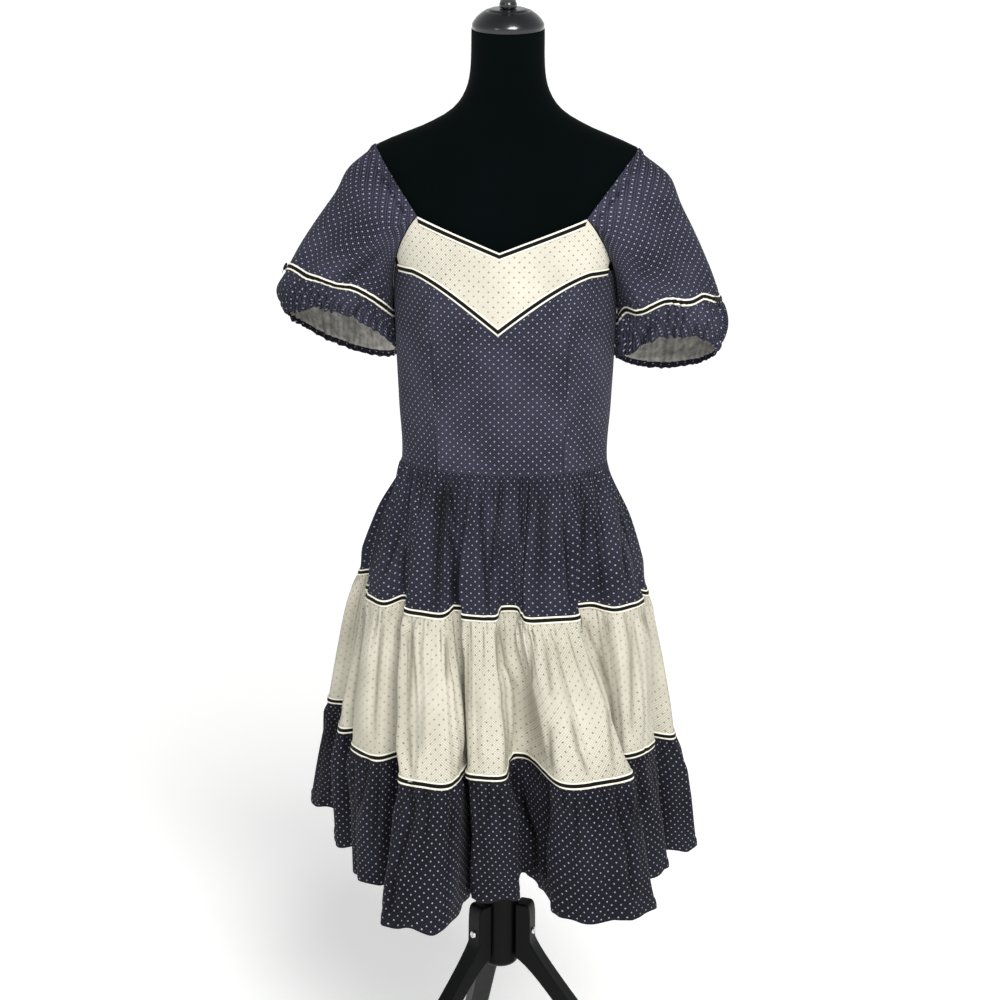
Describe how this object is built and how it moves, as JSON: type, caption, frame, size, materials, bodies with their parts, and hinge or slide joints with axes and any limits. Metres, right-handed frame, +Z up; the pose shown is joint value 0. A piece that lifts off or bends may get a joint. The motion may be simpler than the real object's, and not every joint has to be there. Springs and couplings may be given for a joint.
{
  "type": "tiered midi dress on a dress form",
  "caption": "Puff-sleeved dress with a chevron yoke, fitted bodice and gathered tiered skirt, on a limbless dress form with a tripod stand.",
  "frame": {"origin": "on the floor, under the middle of the whole object's bounding box", "axes": "+Z up, the dress faces -Y, +X is on the right as seen from in front"},
  "size_m": [0.5778, 0.5256, 1.566],
  "materials": {
    "navy_cotton": "matte woven cotton with small pale dots",
    "cream_cotton": "matte woven cotton with small dark dots",
    "striped_ribbon": "woven ribbon with a black stripe between two ivory ones",
    "black_ribbon": "soft satin ribbon",
    "black_jersey": "matte knitted jersey stretched smooth",
    "black_lacquer": "glossy black lacquer",
    "black_wood": "satin black paint over wood",
    "bright_steel": "bright steel screw head"
  },
  "bodies": {
    "root": {"yoke_front": "cream_cotton", "bodice_front_centre": "navy_cotton", "bodice_front_side_left": "navy_cotton", "bodice_front_side_right": "navy_cotton", "bodice_back_left": "navy_cotton", "bodice_back_right": "navy_cotton", "sleeve_left": "navy_cotton", "sleeve_right": "navy_cotton", "skirt_tier_1": "navy_cotton", "skirt_tier_2": "cream_cotton", "skirt_tier_3": "navy_cotton", "ribbon_neckline": "striped_ribbon", "ribbon_yoke": "striped_ribbon", "ribbon_sleeve_left": "striped_ribbon", "ribbon_sleeve_right": "striped_ribbon", "ribbon_tier_1": "striped_ribbon", "ribbon_tier_2": "striped_ribbon", "bow_left": "black_ribbon", "bow_right": "black_ribbon", "form_torso": "black_jersey", "neck_cap": "black_lacquer", "finial": "black_lacquer", "pole": "black_wood", "post": "black_wood", "leg_1": "black_wood", "leg_2": "black_wood", "leg_3": "black_wood", "bolt_1": "bright_steel", "bolt_2": "bright_steel", "bolt_3": "bright_steel"}
  },
  "joints": []
}
